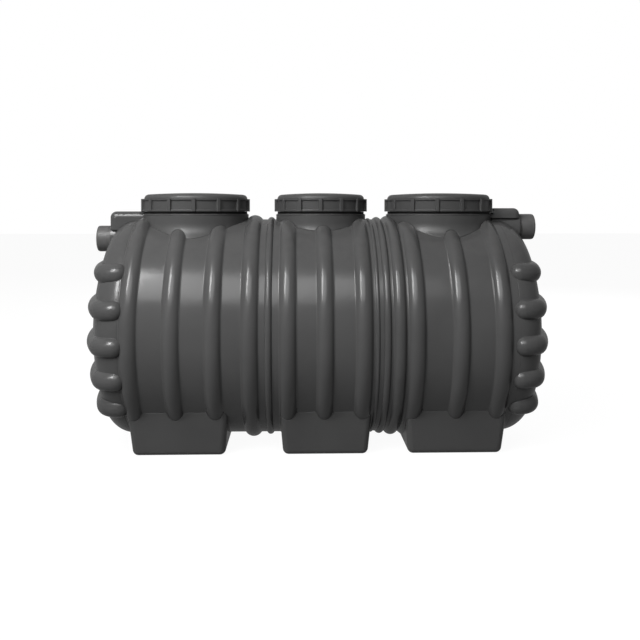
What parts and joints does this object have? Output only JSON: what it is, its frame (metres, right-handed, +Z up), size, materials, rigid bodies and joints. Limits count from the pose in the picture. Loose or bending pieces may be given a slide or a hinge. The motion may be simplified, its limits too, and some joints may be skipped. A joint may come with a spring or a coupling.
{
  "type": "septic tank",
  "caption": "Horizontal three-chamber septic tank with hooped barrel, ribbed dished ends, necks with screw lids, moulded feet and pipe stubs.",
  "frame": {"origin": "on the floor under the centre of the tank", "axes": "+X along the tank towards the inlet, +Z up, -Y towards the viewer of the picture"},
  "size_m": [1.8972, 0.9466, 1.0355],
  "materials": {
    "tank_plastic": "satin moulded polyethylene, dark grey",
    "lid_plastic": "satin moulded polyethylene, dark grey",
    "pipe_plastic": "smooth pipe plastic, dark grey",
    "rubber_seal": "black rubber"
  },
  "bodies": {
    "tank": {"left_end": "tank_plastic", "left_barrel": "tank_plastic", "middle_barrel": "tank_plastic", "right_barrel": "tank_plastic", "right_end": "tank_plastic", "left_seam": "tank_plastic", "right_seam": "tank_plastic", "left_neck": "tank_plastic", "middle_neck": "tank_plastic", "right_neck": "tank_plastic", "left_foot": "tank_plastic", "middle_foot": "tank_plastic", "right_foot": "tank_plastic", "outlet_box": "tank_plastic", "inlet_box": "tank_plastic", "outlet_pipe": "pipe_plastic", "inlet_pipe": "pipe_plastic", "outlet_seal": "rubber_seal", "inlet_seal": "rubber_seal", "left_gasket": "rubber_seal", "middle_gasket": "rubber_seal", "right_gasket": "rubber_seal"},
    "left_lid": {"left_lid_ring": "lid_plastic", "left_lid_cover": "lid_plastic"},
    "middle_lid": {"middle_lid_ring": "lid_plastic", "middle_lid_cover": "lid_plastic"},
    "right_lid": {"right_lid_ring": "lid_plastic", "right_lid_cover": "lid_plastic"}
  },
  "joints": [
    {"name": "left_lid_lift", "type": "slide", "parent": "tank", "child": "left_lid", "axis": [0, 0, 1], "range_m": [0, 0.3]},
    {"name": "middle_lid_lift", "type": "slide", "parent": "tank", "child": "middle_lid", "axis": [0, 0, 1], "range_m": [0, 0.3]},
    {"name": "right_lid_lift", "type": "slide", "parent": "tank", "child": "right_lid", "axis": [0, 0, 1], "range_m": [0, 0.3]}
  ]
}
